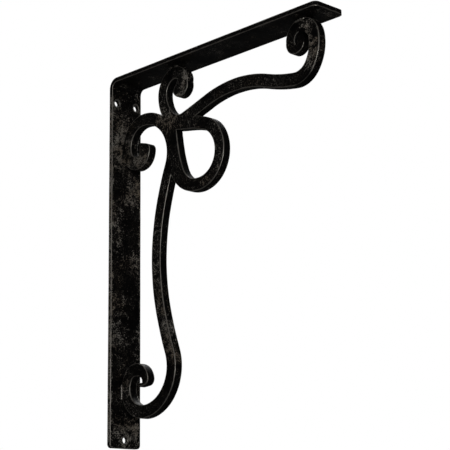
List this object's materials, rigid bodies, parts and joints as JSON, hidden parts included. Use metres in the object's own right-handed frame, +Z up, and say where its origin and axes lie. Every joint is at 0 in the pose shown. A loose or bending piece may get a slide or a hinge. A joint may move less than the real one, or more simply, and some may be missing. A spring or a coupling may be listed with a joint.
{
  "type": "wrought iron bracket",
  "caption": "Wrought iron shelf bracket: a flat bar bent square at the corner, filled with scrolled ribbons and a drop-shaped loop, aged black finish.",
  "frame": {"origin": "Middle of the back face of the wall leg, the face that lies against the wall.", "axes": "+Z up along the wall leg, -Y straight out from the wall along the shelf leg, X across the flat bar."},
  "size_m": [0.0382, 0.2921, 0.381],
  "materials": {
    "bar_iron": "aged",
    "scroll_iron": "aged"
  },
  "bodies": {
    "root": {"bracket_flange": "bar_iron", "scrollwork": "scroll_iron"}
  },
  "joints": []
}
